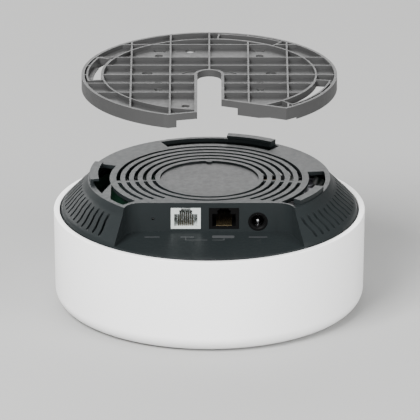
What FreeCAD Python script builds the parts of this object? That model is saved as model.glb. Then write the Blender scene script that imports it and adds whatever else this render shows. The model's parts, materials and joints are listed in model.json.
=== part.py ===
import FreeCAD, Part
import math
import os

# Ceiling mesh wifi node, modelled as it lies on its closed white face.
# Origin: centre of that face. +Z points to the ceiling plate, the ports face -Y.
# Lengths are millimetres. A heading is an angle in degrees, clockwise from +Y seen from above.

Vec = FreeCAD.Vector
UP = Vec(0, 0, 1)

# ---- white outer shell ----
shell_radius = 80.0
shell_height = 49.7
shell_edge_radius = 8.2
shell_draft = 0.72
shell_wall = 2.4
rim_inner_radius = 77.06
seat_depth = 5.6
seat_width = 2.1
snap_groove_z = 46.0
snap_groove_height = 1.2
snap_groove_depth = 0.5

# ---- dark base chassis ----
base_rise = 16.5
base_top_z = shell_height + base_rise
base_flat_radius = 62.3
base_rim_radius = 76.76
base_wall = 2.0
skirt_bottom_z = shell_height - seat_depth + 0.1
skirt_wall = 2.2
ceiling_z = base_top_z - base_wall

# ---- port bay ----
bay_wall_y = -37.5
bay_apex_x = 40.9
bay_flare = 0.346
bay_corner_radius = 9.0
bay_floor_z = shell_height
bay_floor_back_z = shell_height + 1.0
bay_floor_front_z = shell_height + 0.1
bay_floor_front_y = -77.0
bay_floor_thickness = 2.0
bay_reach_y = -90.0

# ---- concentric vent rings in the top ----
ring_count = 5
ring_first_radius = 28.8
ring_pitch = 4.5
ring_width = 2.0
ring_bridge_heading = 98.0
ring_bridge_half = 1.3
ring_joined_count = 2
ring_left_ends = [217.3, 222.1, 226.6]
ring_right_ends = [146.4, 141.5, 137.0]
ring_rib_headings = [0, 45, 90, 118, 242, 270, 315]
ring_rib_thickness = 1.2
ring_rib_height = 2.4

# ---- side vents in the cone ----
side_vent_count = 66
side_vent_first = -129.9
side_vent_pitch = 4.052
side_vent_width = 1.6
side_vent_corner = 0.7
side_vent_low_z = shell_height + 0.4
side_vent_high_z = base_top_z - 3.0
side_vent_radii = [65.2, 68.2, 71.8, 74.4]
side_vent_sway = [0.9, 0.7, -0.7, -0.9]

# ---- bayonet slots and hooks: open from, hook from, hook to ----
bayonets = [(-25.0, 9.2, 34.0), (80.5, 108.5, 131.2), (227.5, 261.4, 287.0)]
slot_inner_radius = 51.2
slot_outer_radius = 59.7
lane_outer_radius = 59.9
lane_overrun = 3.3
slot_keep_out = 1.2
slot_land = [(-50.2, -8.0), (-55.0, -23.5), (-59.5, -29.0), (-51.5, -39.0), (-50.5, -35.2),
             (-50.2, -12.5)]
hook_inner_radius = 57.2
hook_outer_radius = 61.6
hook_height = 2.5
hook_lip = 1.2
hook_web = 1.4
hook_stop = 1.2

# ---- label in the middle of the base ----
label_recess_radius = 25.3
label_recess_depth = 1.0
label_thickness = 0.2
label_gap = 0.25
label_key_radius = 1.8

# ---- ports ----
port_z = base_top_z - 8.75
lan_x = -12.0
poe_x = 7.5
jack_width = 15.24
jack_height = 11.9
jack_depth = 20.0
jack_clearance = 0.1
jack_nose_depth = 1.15
jack_nose_step = 0.6
contact_count = 8
contact_pitch = 1.02
contact_width = 0.35
dc_x = 24.8
dc_z = base_top_z - 10.2
dc_nose_radius = 4.95
dc_bore_radius = 3.2
dc_bore_depth = 10.5
dc_back_y = -22.5
reset_x = -28.7
reset_z = base_top_z - 8.8
reset_pinhole_radius = 0.75
switch_front_y = -32.2
switch_back_y = -28.4

# ---- main board ----
board_top_z = port_z - jack_height / 2
board_thickness = 1.6
board_bottom_z = board_top_z - board_thickness
board_radius = 70.0
board_front_y = -35.0
board_hole_radius = 1.5
boss_radius = 2.9
boss_circle_radius = 63.2
boss_headings = [50, 118, 242, 310]
pilot_radius = 1.2
guide_radius = 1.8
guide_circle_radius = 60.0
screw_radius = 1.15
screw_head_radius = 2.4
screw_head_height = 1.6

# ---- heat path under the board ----
chip_height = 1.4
shield_height = 2.5
shield_metal = 0.3
pad_thickness = 1.0
sink_plate_thickness = 3.0
sink_fin_tip_z = 20.0
sink_x = (-40.0, 47.0)
sink_y = (-9.0, 33.0)
sink_leg_radius = 3.0
sink_leg_inset = 4.0
sink_fin_count = 13
sink_fin_thickness = 1.6
soc_shield = (-32.0, 4.0, -4.0, 24.0)
radio_shield = (10.0, 38.0, -4.0, 24.0)

# ---- ceiling plate, drawn lifted off the base ----
plate_lift = 49.0
plate_dock_gap = 0.3
plate_radius = 65.4
plate_height = 7.2
plate_wall = 1.5
plate_sheet_low = 3.6
plate_sheet_thickness = 1.4
plate_rib = 0.9
plate_ring_radius = 54.6
plate_rib_xs = [-40, -20, 0, 20, 40]
plate_rib_ys = [46, 26, 13.5, -1, -14, -28]
notch_half_width = 6.1
notch_end_y = 0.0
window_inner_radius = 55.5
window_outer_radius = 62.0
lead_gap_x = (-16.5, 14.3)
skirt_relief = [(25.0, -1.0), (25.0, 0.0), (30.4, 0.9), (44.0, 0.9), (44.0, -1.0)]
windows = [(5.0, 36.2), (99.6, 137.4), (261.2, 294.0)]
plate_z = base_top_z + plate_dock_gap + plate_lift
pattern_spacing = 52.0
pattern_centre_y = 8.0
pattern_hole_radius = 2.1
wide_hole_x = 31.7
wide_hole_y = 7.0
wide_hole_radius = 2.75
mid_hole_y = -7.5
oval_x = 25.6
oval_y = 42.0
oval_length = 7.0
back_hole_x = -9.8
single_hole = (-12.0, -43.0)


# ---------------------------------------------------------------- helpers
def at(radius, heading, z=0.0):
    turn = math.radians(heading)
    return Vec(radius * math.sin(turn), radius * math.cos(turn), z)


def box(x0, x1, y0, y1, z0, z1):
    return Part.makeBox(x1 - x0, y1 - y0, z1 - z0, Vec(x0, y0, z0))


def rod(radius, x, y, z0, z1):
    return Part.makeCylinder(radius, z1 - z0, Vec(x, y, z0), UP)


def rod_y(radius, x, z, y0, y1):
    return Part.makeCylinder(radius, y1 - y0, Vec(x, y0, z), Vec(0, 1, 0))


def ring(inner, outer, z0, z1):
    return rod(outer, 0, 0, z0, z1).cut(rod(inner, 0, 0, z0 - 1, z1 + 1))


def fuse(shapes):
    return shapes[0].multiFuse(shapes[1:]).removeSplitter()


def rounded_wire(points, place):
    """Closed outline through (u, v, corner radius); place turns (u, v) into a point in space."""
    edges = []
    starts, ends, arcs = [], [], []
    count = len(points)
    for i in range(count):
        here = Vec(points[i][0], points[i][1], 0)
        before = Vec(points[i - 1][0], points[i - 1][1], 0) - here
        after = Vec(points[(i + 1) % count][0], points[(i + 1) % count][1], 0) - here
        before.normalize()
        after.normalize()
        radius = points[i][2]
        if radius <= 0:
            starts.append(here)
            ends.append(here)
            arcs.append(None)
            continue
        half = before.getAngle(after) / 2
        reach = radius / math.tan(half)
        middle = before + after
        middle.normalize()
        starts.append(here + before * reach)
        ends.append(here + after * reach)
        arcs.append(here + middle * (radius / math.sin(half) - radius))
    for i in range(count):
        if arcs[i] is not None:
            spots = [place(p.x, p.y) for p in (starts[i], arcs[i], ends[i])]
            edges.append(Part.Arc(*spots).toShape())
        a, b = ends[i], starts[(i + 1) % count]
        if (a - b).Length > 1e-6:
            edges.append(Part.LineSegment(place(a.x, a.y), place(b.x, b.y)).toShape())
    return Part.Wire(edges)


def turned(points):
    """Solid of revolution about Z from (radius, z, corner radius)."""
    face = Part.Face(rounded_wire(points, lambda u, v: Vec(u, 0, v)))
    return face.revolve(Vec(0, 0, 0), UP, 360)


def slab(points, z0, z1):
    """Flat plate from (x, y, corner radius)."""
    face = Part.Face(rounded_wire(points, lambda u, v: Vec(u, v, z0)))
    return face.extrude(Vec(0, 0, z1 - z0))


def arc_bar(inner, outer, start, end, z0, z1):
    """Curved bar between two radii and two headings."""
    middle = (start + end) / 2
    edges = [
        Part.Arc(at(inner, start, z0), at(inner, middle, z0), at(inner, end, z0)).toShape(),
        Part.LineSegment(at(inner, end, z0), at(outer, end, z0)).toShape(),
        Part.Arc(at(outer, end, z0), at(outer, middle, z0), at(outer, start, z0)).toShape(),
        Part.LineSegment(at(outer, start, z0), at(inner, start, z0)).toShape(),
    ]
    return Part.Face(Part.Wire(edges)).extrude(Vec(0, 0, z1 - z0))


def spoke(heading, r0, r1, width, z0, z1):
    bar = box(-width / 2, width / 2, r0, r1, z0, z1)
    bar.rotate(Vec(0, 0, 0), UP, -heading)
    return bar


def save(name, shape):
    solids = shape.Solids
    shape = solids[0] if len(solids) == 1 else Part.makeCompound(solids)
    if not shape.isValid():
        raise RuntimeError(name + " is not a valid shape")
    shape.exportStep("parts/" + name + ".step")
    print("%-24s %2d solid(s) %10.1f mm3" % (name, len(solids), shape.Volume))


# ---------------------------------------------------------------- casing
def outer_shell():
    slope = math.tan(math.radians(shell_draft))
    face_radius = shell_radius - shell_height * slope
    seat_z = shell_height - seat_depth
    seat_radius = rim_inner_radius - seat_width
    inner_top = shell_radius - shell_wall - seat_depth * slope
    inner_foot = inner_top - (seat_z - 2 * shell_wall) * slope
    body = turned([
        (0, 0, 0), (face_radius, 0, shell_edge_radius), (shell_radius, shell_height, 0),
        (rim_inner_radius, shell_height, 0), (rim_inner_radius, seat_z, 0), (seat_radius, seat_z, 0),
        (seat_radius, seat_z - 1.6, 0), (inner_top, seat_z - 2 * shell_wall, 0),
        (inner_foot, shell_wall, shell_edge_radius - shell_wall), (0, shell_wall, 0)])
    groove = ring(rim_inner_radius - 1, rim_inner_radius + snap_groove_depth,
                  snap_groove_z, snap_groove_z + snap_groove_height)
    guide_x, guide_y = guide_place()
    socket = rod(guide_radius + 1.5, guide_x, guide_y, shell_wall - 0.5, 9.0)
    socket = socket.cut(rod(guide_radius + 0.1, guide_x, guide_y, 0.8, 10.0))
    window = rod(guide_radius + 0.1, guide_x, guide_y, 0.8, 10.0)
    return fuse([body.cut(groove).cut(window), socket])


def bay_outline(grow):
    """Plan of the port bay; grow pushes its walls outwards."""
    lean = grow * math.sqrt(1 + bay_flare ** 2)
    apex_x = bay_apex_x - bay_flare * grow + lean
    apex_y = bay_wall_y + grow
    foot_x = apex_x + (apex_y - bay_reach_y) * bay_flare
    corner = bay_corner_radius + grow
    return [(-foot_x, bay_reach_y, 0), (-apex_x, apex_y, corner),
            (apex_x, apex_y, corner), (foot_x, bay_reach_y, 0)]


def base_outside():
    z = shell_height
    return turned([
        (0, base_top_z, 0), (base_flat_radius, base_top_z, 0.5), (64.5, z + 12.9, 9.0),
        (75.4, z + 1.9, 3.2), (base_rim_radius, z - 1.2, 0),
        (base_rim_radius, skirt_bottom_z, 0), (0, skirt_bottom_z, 0)])


def base_inside():
    z = shell_height
    skirt_inner = base_rim_radius - skirt_wall
    return turned([
        (0, ceiling_z, 0), (60.7, ceiling_z, 0.5), (62.6, z + 12.1, 6.0),
        (73.0, z + 1.5, 2.0), (skirt_inner, z - 2.0, 0),
        (skirt_inner, skirt_bottom_z - 1, 0), (0, skirt_bottom_z - 1, 0)])


def vent_rings():
    """Cutters for the concentric slots, split by a bridge on each side and in front."""
    cutters = []
    back = ring_bridge_heading - ring_bridge_half
    front = ring_bridge_heading + ring_bridge_half
    low, high = ceiling_z - 0.5, base_top_z + 1
    for k in range(ring_count):
        radius = ring_first_radius + k * ring_pitch
        inner, outer = radius - ring_width / 2, radius + ring_width / 2
        cutters.append(arc_bar(inner, outer, -back, back, low, high))
        if k < ring_joined_count:
            cutters.append(arc_bar(inner, outer, front, 360 - front, low, high))
        else:
            right_end = ring_right_ends[k - ring_joined_count]
            left_end = ring_left_ends[k - ring_joined_count]
            cutters.append(arc_bar(inner, outer, front, right_end, low, high))
            cutters.append(arc_bar(inner, outer, left_end, 360 - front, low, high))
    return cutters


def side_vents():
    """Cutters for the swept slots in the cone."""
    cutters = []
    for k in range(side_vent_count):
        heading = side_vent_first + k * side_vent_pitch
        left, right = [], []
        for i, radius in enumerate(side_vent_radii):
            spot = at(radius, heading + side_vent_sway[i])
            across = at(side_vent_width / 2, heading + 90)
            corner = side_vent_corner if i in (0, 3) else 3.0
            left.append((spot.x - across.x, spot.y - across.y, corner))
            right.append((spot.x + across.x, spot.y + across.y, corner))
        cutters.append(slab(left + right[::-1], side_vent_low_z, side_vent_high_z))
    return cutters


def bayonet_slots():
    """Openings beside and under the hooks; the left one has a land of the top across it."""
    low, high = ceiling_z - 0.5, base_top_z + 1
    keep = [slab(bay_outline(slot_keep_out), low - 1, high + 1),
            slab([(x, y, 0) for x, y in slot_land], low - 1, high + 1)]
    keep = Part.makeCompound(keep)
    cutters = []
    for open_from, hook_from, hook_to in bayonets:
        cutters.append(arc_bar(slot_inner_radius, slot_outer_radius,
                               open_from, hook_from + 0.1, low, high).cut(keep))
        cutters.append(arc_bar(slot_inner_radius, lane_outer_radius,
                               hook_from, hook_to + lane_overrun, low, high).cut(keep))
    return cutters


def hooks():
    """Raised hooks over the slots: a web outside, a lip reaching inwards and an end stop."""
    low, top = base_top_z - 0.5, base_top_z + hook_height
    pieces = []
    for _, start, end in bayonets:
        web = arc_bar(hook_outer_radius - hook_web, hook_outer_radius, start, end, low, top)
        lip = arc_bar(hook_inner_radius, hook_outer_radius, start, end, top - hook_lip, top)
        stop = arc_bar(hook_inner_radius, hook_outer_radius, end - hook_stop, end, low, top)
        pieces.append(fuse([web, lip, stop]))
    return pieces


def bay_floor():
    """Everything under the floor of the bay, which falls gently towards the front."""
    return Part.Face(rounded_wire(
        [(bay_wall_y + 3, bay_floor_back_z, 0), (bay_wall_y, bay_floor_back_z, 0),
         (bay_floor_front_y, bay_floor_front_z, 0), (bay_reach_y, bay_floor_front_z, 0),
         (bay_reach_y, bay_floor_z - 1, 0), (bay_wall_y + 3, bay_floor_z - 1, 0)],
        lambda u, v: Vec(-bay_reach_y, u, v))).extrude(Vec(2 * bay_reach_y, 0, 0))


def base_chassis():
    outside = base_outside()
    bay = slab(bay_outline(0), bay_floor_z, base_top_z + 2).cut(bay_floor())
    bay_walls = slab(bay_outline(base_wall), bay_floor_z - bay_floor_thickness, base_top_z + 2)
    hollow = base_inside().cut(bay_walls)
    body = outside.cut(bay).cut(hollow)

    ribs = [spoke(h, label_recess_radius, 49.5, ring_rib_thickness, ceiling_z - ring_rib_height,
                  ceiling_z + 0.2) for h in ring_rib_headings]
    bosses = []
    for heading in boss_headings:
        spot = at(boss_circle_radius, heading)
        bosses.append(rod(boss_radius, spot.x, spot.y, board_top_z, base_top_z).common(outside))
    beads = [arc_bar(base_rim_radius - 0.5, rim_inner_radius + 0.3, h - 9, h + 9,
                     snap_groove_z + 0.1, snap_groove_z + snap_groove_height - 0.1)
             for h in range(0, 360, 60)]
    body = body.cut(Part.makeCompound(vent_rings()))
    body = body.cut(Part.makeCompound(side_vents()))
    body = body.cut(Part.makeCompound(bayonet_slots()))
    body = fuse([body] + ribs + bosses + beads + hooks())

    recess = rod(label_recess_radius, 0, 0, base_top_z - label_recess_depth, base_top_z + 1)
    key = rod(label_key_radius, 0, label_recess_radius + 0.3, base_top_z - 1, base_top_z + 2)
    body = body.cut(recess.cut(key))

    holes = [rod(pilot_radius, at(boss_circle_radius, h).x, at(boss_circle_radius, h).y,
                 board_top_z - 1, board_top_z + 7.5) for h in boss_headings]
    half_x = jack_width / 2 + jack_clearance
    half_z = jack_height / 2 + jack_clearance
    step_y = bay_wall_y + jack_nose_depth - jack_clearance
    for x in (lan_x, poe_x):
        holes.append(box(x - half_x, x + half_x, bay_wall_y - 1, step_y + 0.1,
                         port_z - half_z + jack_nose_step, port_z + half_z))
        holes.append(box(x - half_x, x + half_x, step_y, bay_wall_y + base_wall + 1,
                         port_z - half_z, port_z + half_z))
    holes.append(rod_y(dc_nose_radius + 0.1, dc_x, dc_z, bay_wall_y - 1, bay_wall_y + base_wall + 1))
    holes.append(rod_y(reset_pinhole_radius, reset_x, reset_z,
                       bay_wall_y - 1, bay_wall_y + base_wall + 1))
    return body.cut(Part.makeCompound(holes))


def label_disc():
    low = base_top_z - label_recess_depth
    disc = rod(label_recess_radius - label_gap, 0, 0, low, low + label_thickness)
    key = rod(label_key_radius + label_gap, 0, label_recess_radius + 0.3, low - 1, low + 1)
    return disc.cut(key)


# ---------------------------------------------------------------- ceiling plate
def plate_outline(inset):
    """Disc with its front notch; the right front edge is a straight chord."""
    disc = rod(plate_radius - inset, 0, 0, 0, plate_height)
    half = notch_half_width + inset
    notch = slab([(-half, notch_end_y + notch_half_width + inset, half - 0.01),
                  (half, notch_end_y + notch_half_width + inset, half - 0.01),
                  (half, -plate_radius - 5, 0), (-half, -plate_radius - 5, 0)], -1, plate_height + 1)
    lift = inset * 1.06
    right_cut = slab([(0, -37.2 + lift, 0), (5.7, -39.0 + lift, 0), (43.7, -54.5 + lift, 0),
                      (60, -61.0 + lift, 0), (60, -90, 0), (0, -90, 0)], -1, plate_height + 1)
    left_cut = slab([(0, -57.0 + lift, 0), (-7.8, -58.6 + lift, 0), (-23.5, -62.7 + lift, 0),
                     (-40, -67.0 + lift, 0), (-40, -90, 0), (0, -90, 0)], -1, plate_height + 1)
    return disc.cut(notch).cut(right_cut).cut(left_cut)


def plate_ribs():
    low, top = plate_sheet_low + 0.5, plate_height
    half = plate_rib / 2
    reach = plate_radius
    bars = [box(x - half, x + half, -reach, reach, low, top) for x in plate_rib_xs]
    bars += [box(-reach, reach, y - half, y + half, low, top) for y in plate_rib_ys]
    bars.append(ring(plate_ring_radius - half, plate_ring_radius + half, low, top))
    return fuse(bars)


def plate_window_walls():
    """Thin wall round each window, the ledge inside it and the catch wall that hangs below."""
    walls, ledges = [], []
    for start, end in windows:
        inner, outer = window_inner_radius, window_outer_radius
        over = math.degrees(plate_rib / outer)
        frame = arc_bar(inner - plate_rib, outer + plate_rib, start - over, end + over,
                        plate_sheet_low + 0.5, plate_height)
        walls.append(frame)
        ledge = arc_bar(outer - 2.6, outer + 0.3, start + 7, end - 7,
                        plate_sheet_low, plate_sheet_low + 0.8)
        catch = arc_bar(outer, outer + 1.2, start + 7, end - 7, 0, plate_sheet_low + 0.5)
        ledges.append(fuse([ledge, catch]))
    return walls, ledges


def plate_holes():
    half = pattern_spacing / 2
    cutters = [rod(pattern_hole_radius, x, pattern_centre_y + y, -1, 9)
               for x in (-half, half) for y in (-half, half)]
    cutters += [rod(wide_hole_radius, x, wide_hole_y, -1, 9) for x in (-wide_hole_x, wide_hole_x)]
    cutters += [rod(pattern_hole_radius, x, mid_hole_y, -1, 9) for x in (-half, half)]
    cutters.append(rod(wide_hole_radius, back_hole_x, oval_y, -1, 9))
    cutters.append(rod(pattern_hole_radius, single_hole[0], single_hole[1], -1, 9))
    reach = oval_length / 2 - pattern_hole_radius
    for x in (-oval_x, oval_x):
        cutters.append(rod(pattern_hole_radius, x - reach, oval_y, -1, 9))
        cutters.append(rod(pattern_hole_radius, x + reach, oval_y, -1, 9))
        cutters.append(box(x - reach, x + reach, oval_y - pattern_hole_radius,
                           oval_y + pattern_hole_radius, -1, 9))
    return cutters


def mount_plate():
    whole = plate_outline(0)
    core = plate_outline(plate_wall)
    below = box(-80, 80, -80, 80, -1, plate_sheet_low)
    above = box(-80, 80, -80, 80, plate_sheet_low + plate_sheet_thickness, plate_height + 1)
    body = whole.cut(core.common(below)).cut(core.common(above))
    # the wall stands up clear of the base on both sides of the notch, where the leads come out
    body = body.cut(box(lead_gap_x[0], lead_gap_x[1], -80, 8, -1, plate_sheet_low))
    relief = Part.Face(rounded_wire([(x, z, 0) for x, z in skirt_relief],
                                    lambda u, v: Vec(u, -80, v))).extrude(Vec(0, 45, 0))
    body = body.cut(relief)

    walls, ledges = plate_window_walls()
    inside = plate_outline(0.1)
    body = fuse([body, plate_ribs().common(inside)] + walls)
    for start, end in windows:
        body = body.cut(arc_bar(window_inner_radius, window_outer_radius, start, end, -1, 9))
    body = fuse([body] + ledges)
    body = body.cut(Part.makeCompound(plate_holes()))
    body.translate(Vec(0, 0, plate_z))
    return body


# ---------------------------------------------------------------- network jacks
def jack_housing(x):
    """Low jack: stepped plug cavity with a latch slot above and a comb for the contacts below."""
    foot = port_z - jack_height / 2
    front, back = bay_wall_y, bay_wall_y + jack_depth
    block = box(x - jack_width / 2, x + jack_width / 2, front, back, foot, foot + jack_height)
    cuts = [
        box(x - 5.95, x + 5.95, front - 1, front + 13, foot + 1.9, foot + 8.6),
        box(x - 3.3, x + 3.3, front - 1, front + 13, foot + 8.5, foot + 10.7),
        box(x - 2.45, x + 2.45, front - 1, front + 1.5, foot + 10.6, foot + jack_height + 1),
        box(x - jack_width, x + jack_width, front - 1, front + jack_nose_depth,
            foot - 1, foot + jack_nose_step),
    ]
    housing = block.cut(Part.makeCompound(cuts))
    comb = box(x - 4.5, x + 4.5, front + 9.0, front + 13.1, foot + 1.8, foot + 6.4)
    pegs = [rod(1.5, x + side * 5.7, front + 11.0, board_bottom_z, foot + 0.1) for side in (-1, 1)]
    housing = fuse([housing, comb] + pegs)
    grooves = []
    for i in range(contact_count):
        lane = x + (i - (contact_count - 1) / 2) * contact_pitch
        grooves.append(box(lane - 0.3, lane + 0.3, front + 1.2, back - 1.2, foot + 0.5, foot + 2.0))
        grooves.append(box(lane - 0.3, lane + 0.3, front + 8.0, front + 12.6, foot + 1.0, foot + 7.0))
        grooves.append(box(lane - 0.3, lane + 0.3, back - 2.0, back - 1.2, foot - 1, foot + 1.0))
    return housing.cut(Part.makeCompound(grooves))


def jack_contacts(x):
    """Sprung wires: up from the board, forward under the floor, folded back up into the cavity."""
    foot = port_z - jack_height / 2
    front, back = bay_wall_y, bay_wall_y + jack_depth
    tail = back - 1.45
    wires = []
    for i in range(contact_count):
        lane = x + (i - (contact_count - 1) / 2) * contact_pitch
        path = [
            (tail, board_bottom_z - 1.0, 0), (tail, foot + 1.05, 0.5), (front + 1.9, foot + 1.05, 0.3),
            (front + 1.9, foot + 1.75, 0.3), (front + 11.8, foot + 5.7, 0),
            (front + 11.67, foot + 6.02, 0), (front + 1.4, foot + 1.95, 0.6),
            (front + 1.4, foot + 0.7, 0.6), (tail - 0.35, foot + 0.7, 0.2),
            (tail - 0.35, board_bottom_z - 1.0, 0)]
        wire = rounded_wire(path, lambda u, v: Vec(lane - contact_width / 2, u, v))
        wires.append(Part.Face(wire).extrude(Vec(contact_width, 0, 0)))
    return Part.makeCompound(wires)


def jack_board_holes(x):
    back = bay_wall_y + jack_depth
    holes = [rod(1.6, x + side * 5.7, bay_wall_y + 11.0, 0, 90) for side in (-1, 1)]
    for i in range(contact_count):
        lane = x + (i - (contact_count - 1) / 2) * contact_pitch
        holes.append(box(lane - 0.3, lane + 0.3, back - 2.0, back - 1.25, 0, 90))
    return holes


# ---------------------------------------------------------------- power jack and reset switch
def dc_jack_housing():
    nose = rod_y(dc_nose_radius, dc_x, dc_z, bay_wall_y, board_front_y)
    block = box(dc_x - 4.8, dc_x + 4.8, board_front_y, dc_back_y, board_top_z, dc_z + 5.0)
    bore = rod_y(dc_bore_radius, dc_x, dc_z, bay_wall_y - 1, bay_wall_y + dc_bore_depth)
    pocket = box(dc_x - 1.7, dc_x + 1.7, bay_wall_y + 2.0, bay_wall_y + dc_bore_depth,
                 dc_z - 4.0, dc_z)
    seat = rod_y(1.0, dc_x, dc_z, bay_wall_y + 5, dc_back_y + 1)
    chamfer = Part.makeCone(dc_bore_radius + 0.8, dc_bore_radius, 0.8,
                            Vec(dc_x, bay_wall_y, dc_z), Vec(0, 1, 0))
    return fuse([nose, block]).cut(Part.makeCompound([bore, pocket, seat])).cut(chamfer)


def dc_jack_pin():
    shank = rod_y(1.0, dc_x, dc_z, bay_wall_y + 1.6, dc_back_y + 0.8)
    tip = Part.makeCone(0.5, 1.0, 0.6, Vec(dc_x, bay_wall_y + 1.0, dc_z), Vec(0, 1, 0))
    return fuse([shank, tip])


def dc_jack_spring():
    y0 = bay_wall_y + 2.4
    low = dc_z - 3.9
    path = [(y0, low, 0), (y0 + 1.3, low, 0.3), (y0 + 4.2, low + 1.6, 1.2), (y0 + 7.0, low + 0.2, 0),
            (y0 + 7.2, low + 0.5, 0), (y0 + 4.2, low + 1.95, 1.5), (y0 + 1.2, low + 0.35, 0.3),
            (y0, low + 0.35, 0)]
    face = Part.Face(rounded_wire(path, lambda u, v: Vec(dc_x - 1.5, u, v)))
    return face.extrude(Vec(3.0, 0, 0))


def reset_switch_body():
    block = box(reset_x - 3.0, reset_x + 3.0, switch_front_y, switch_back_y,
                board_top_z, reset_z + 3.0)
    pocket = rod_y(1.65, reset_x, reset_z, switch_front_y - 1, switch_back_y - 0.8)
    legs = [box(reset_x + side * 3.6 - 0.6, reset_x + side * 3.6 + 0.6, switch_front_y + 1.2,
                switch_back_y - 1.2, board_top_z, board_top_z + 2.4) for side in (-1, 1)]
    return fuse([block] + legs).cut(pocket)


def reset_plunger():
    stem = rod_y(1.5, reset_x, reset_z, switch_front_y - 2.2, switch_back_y - 2.0)
    return stem.makeFillet(0.25, [edge for edge in stem.Edges
                                  if abs(edge.CenterOfMass.y - switch_front_y + 2.2) < 0.01])


def reset_dome():
    """Snap disc at the bottom of the switch pocket."""
    rim_y = switch_back_y - 0.8
    disc = rod_y(1.55, reset_x, reset_z, rim_y - 0.2, rim_y)
    crown = Part.makeCone(0.9, 1.45, 0.3, Vec(reset_x, rim_y - 0.5, reset_z), Vec(0, 1, 0))
    return fuse([disc, crown])


# ---------------------------------------------------------------- main board and its parts
def guide_place():
    return 0.0, guide_circle_radius


def sink_leg_places():
    xs = (sink_x[0] + sink_leg_inset, sink_x[1] - sink_leg_inset)
    ys = (sink_y[0] + sink_leg_inset, sink_y[1] - sink_leg_inset)
    return [(x, y) for x in xs for y in ys]


def boss_places():
    return [(at(boss_circle_radius, h).x, at(boss_circle_radius, h).y) for h in boss_headings]


def main_board():
    board = rod(board_radius, 0, 0, board_bottom_z, board_top_z)
    board = board.cut(box(-90, 90, -90, board_front_y, 0, 90))
    holes = [rod(board_hole_radius, x, y, 0, 90) for x, y in boss_places() + sink_leg_places()]
    holes += jack_board_holes(lan_x) + jack_board_holes(poe_x)
    return board.cut(Part.makeCompound(holes))


def chip(x, y, width, length, height, above=True):
    low = board_top_z if above else board_bottom_z - height
    body = box(x - width / 2, x + width / 2, y - length / 2, y + length / 2, low, low + height)
    corners = [edge for edge in body.Edges
               if abs(edge.Vertexes[0].Z - edge.Vertexes[1].Z) > height / 2]
    return body.makeFillet(0.25, corners)


def shield_frame(area):
    x0, x1, y0, y1 = area
    low = board_bottom_z - shield_height
    wall = box(x0, x1, y0, y1, low, board_bottom_z)
    inner = box(x0 + shield_metal, x1 - shield_metal, y0 + shield_metal, y1 - shield_metal,
                low - 1, board_bottom_z + 1)
    rail = box(x0, x1, y0, y1, low, low + shield_metal)
    opening = box(x0 + 2.2, x1 - 2.2, y0 + 2.2, y1 - 2.2, low - 1, low + 1)
    return fuse([wall.cut(inner), rail.cut(opening)])


def shield_cover(area):
    """Lid that clips over the frame, with short side flanges."""
    x0, x1, y0, y1 = area
    low = board_bottom_z - shield_height
    gap = 0.05
    outer = box(x0 - gap - shield_metal, x1 + gap + shield_metal, y0 - gap - shield_metal,
                y1 + gap + shield_metal, low - shield_metal, low + 1.4)
    inner = box(x0 - gap, x1 + gap, y0 - gap, y1 + gap, low, low + 2)
    return outer.cut(inner)


def shield_centre(area):
    return (area[0] + area[1]) / 2, (area[2] + area[3]) / 2


def chip_pad(x, y, size):
    low = board_bottom_z - shield_height
    return box(x - size / 2, x + size / 2, y - size / 2, y + size / 2,
               low, board_bottom_z - chip_height)


def sink_pad(area):
    x, y = shield_centre(area)
    top = board_bottom_z - shield_height - shield_metal
    return box(x - 10, x + 10, y - 10, y + 10, top - pad_thickness, top)


def heat_sink():
    top = board_bottom_z - shield_height - shield_metal - pad_thickness
    low = top - sink_plate_thickness
    plate = slab([(sink_x[0], sink_y[0], 5), (sink_x[1], sink_y[0], 5),
                  (sink_x[1], sink_y[1], 5), (sink_x[0], sink_y[1], 5)], low, top)
    pitch = (sink_x[1] - sink_x[0] - 8) / (sink_fin_count - 1)
    fins = []
    for i in range(sink_fin_count):
        x = sink_x[0] + 4 + i * pitch
        fins.append(box(x - sink_fin_thickness / 2, x + sink_fin_thickness / 2,
                        sink_y[0] + 2, sink_y[1] - 2, sink_fin_tip_z, low + 0.5))
    legs = [rod(sink_leg_radius, x, y, top - 0.5, board_bottom_z) for x, y in sink_leg_places()]
    taps = [rod(pilot_radius, x, y, low + 0.8, board_bottom_z + 1) for x, y in sink_leg_places()]
    return fuse([plate] + fins + legs).cut(Part.makeCompound(taps))


def antenna(heading, spread, drop):
    """Stamped arc under the board edge: two feet, a slotted wall and a folded lower edge."""
    inner, outer = 66.0, 66.4
    top = board_bottom_z - 3.0
    low = top - drop
    wall = arc_bar(inner, outer, heading - spread, heading + spread, low, top)
    slot = arc_bar(inner - 1, outer + 1, heading - spread + 3, heading + spread - 5,
                   top - 4.0, top - 2.4)
    fold = arc_bar(inner - 4.0, outer, heading - spread, heading + spread, low, low + 0.4)
    feet = [arc_bar(inner, outer, heading + a, heading + a + 2.2, top - 0.5, board_bottom_z)
            for a in (-spread + 1.0, -spread + 6.0)]
    return fuse([wall.cut(slot), fold] + feet)


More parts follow.
